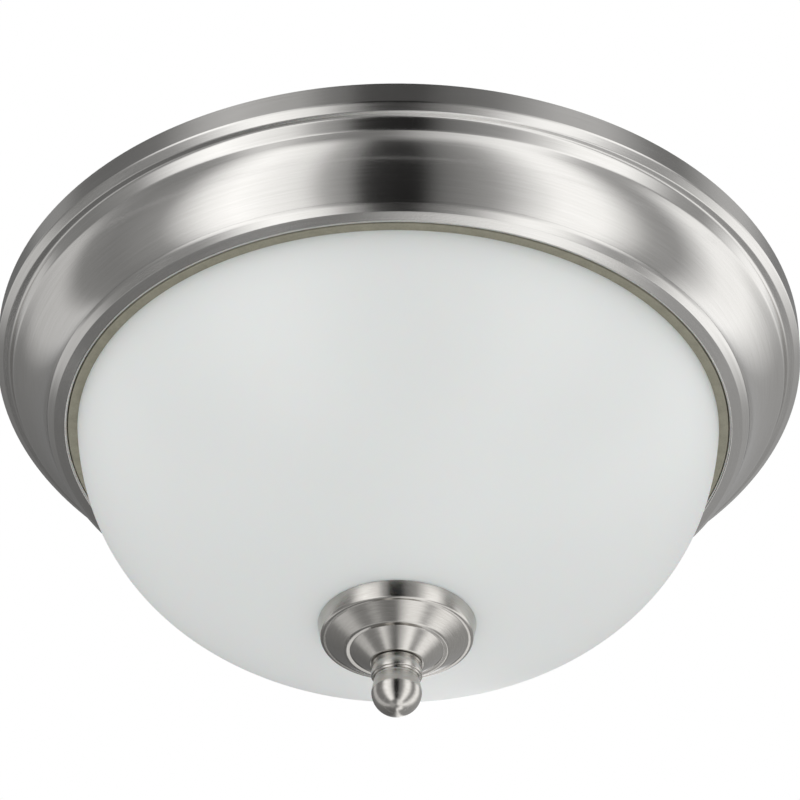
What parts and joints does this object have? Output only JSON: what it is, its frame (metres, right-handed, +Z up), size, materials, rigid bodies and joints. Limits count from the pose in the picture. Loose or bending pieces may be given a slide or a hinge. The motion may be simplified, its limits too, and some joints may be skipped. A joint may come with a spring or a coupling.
{
  "type": "flush mount ceiling light",
  "caption": "Round flush mount ceiling light: spun metal pan with a coved rim, opal glass bowl, and a turned cap and knob on a central rod over screw-base lampholders.",
  "frame": {"origin": "centre of the ceiling plane, where the pan's rim and the mounting strap meet the ceiling", "axes": "+Z up into the ceiling along the fixture's centre line, +X along the mounting strap"},
  "size_m": [0.33, 0.33, 0.1653],
  "materials": {
    "brushed_nickel": "satin nickel plate, brushed round the axis",
    "polished_nickel": "turned and lightly brushed nickel plate",
    "opal_glass": "satin opal white, blown",
    "rim_rubber": "matte khaki rubber channel",
    "pad_rubber": "matte dark rubber",
    "fibre_pad": "pale glass fibre felt",
    "zinc_steel": "zinc plated steel",
    "brass": "plain brass",
    "green_screw": "green dyed screw",
    "bushing_plastic": "black nylon",
    "porcelain": "white glazed porcelain",
    "bulb_white": "white moulded housing",
    "bulb_frost": "frosted white dome",
    "bulb_cap": "rolled aluminium screw base",
    "bulb_black": "black base insulator"
  },
  "bodies": {
    "fixture": {"canopy_pan": "brushed_nickel", "heat_pad": "fibre_pad", "mounting_strap": "zinc_steel", "fixture_screws": "zinc_steel", "ground_screw": "green_screw", "wire_bushing": "bushing_plastic", "centre_rod": "zinc_steel", "rod_nut_upper": "zinc_steel", "rod_nut_lower": "zinc_steel", "rod_spring_washer": "zinc_steel", "holder_body_a": "porcelain", "holder_shell_a": "brass", "holder_spring_a": "brass", "holder_bracket_a": "zinc_steel", "bracket_rivets_a": "zinc_steel", "holder_screws_a": "zinc_steel", "holder_body_b": "porcelain", "holder_shell_b": "brass", "holder_spring_b": "brass", "holder_bracket_b": "zinc_steel", "bracket_rivets_b": "zinc_steel", "holder_screws_b": "zinc_steel"},
    "shade": {"glass_bowl": "opal_glass", "rim_gasket": "rim_rubber"},
    "cap": {"finial_cap": "polished_nickel", "cap_pad": "pad_rubber"},
    "knob": {"finial_knob": "polished_nickel"},
    "bulb_a": {"bulb_contact_a": "bulb_black", "bulb_base_a": "bulb_cap", "bulb_housing_a": "bulb_white", "bulb_globe_a": "bulb_frost"},
    "bulb_b": {"bulb_contact_b": "bulb_black", "bulb_base_b": "bulb_cap", "bulb_housing_b": "bulb_white", "bulb_globe_b": "bulb_frost"}
  },
  "joints": [
    {"name": "shade_drop", "type": "slide", "parent": "fixture", "child": "shade", "axis": [0, 0, -1], "range_m": [0, 0.17]},
    {"name": "cap_drop", "type": "slide", "parent": "shade", "child": "cap", "axis": [0, 0, -1], "range_m": [0, 0.009]},
    {"name": "knob_turn", "type": "hinge", "parent": "cap", "child": "knob", "pos_m": [0, 0, -0.1437], "axis": [0, 0, -1], "range_deg": [0, 3245]},
    {"name": "bulb_a_out", "type": "slide", "parent": "fixture", "child": "bulb_a", "axis": [1, 0, 0], "range_m": [0, 0.026]},
    {"name": "bulb_b_out", "type": "slide", "parent": "fixture", "child": "bulb_b", "axis": [-1, 0, 0], "range_m": [0, 0.026]}
  ],
  "couplings": [
    {"joint": "knob_turn", "follows": "cap_drop", "rad_per_m": 6283.2}
  ]
}
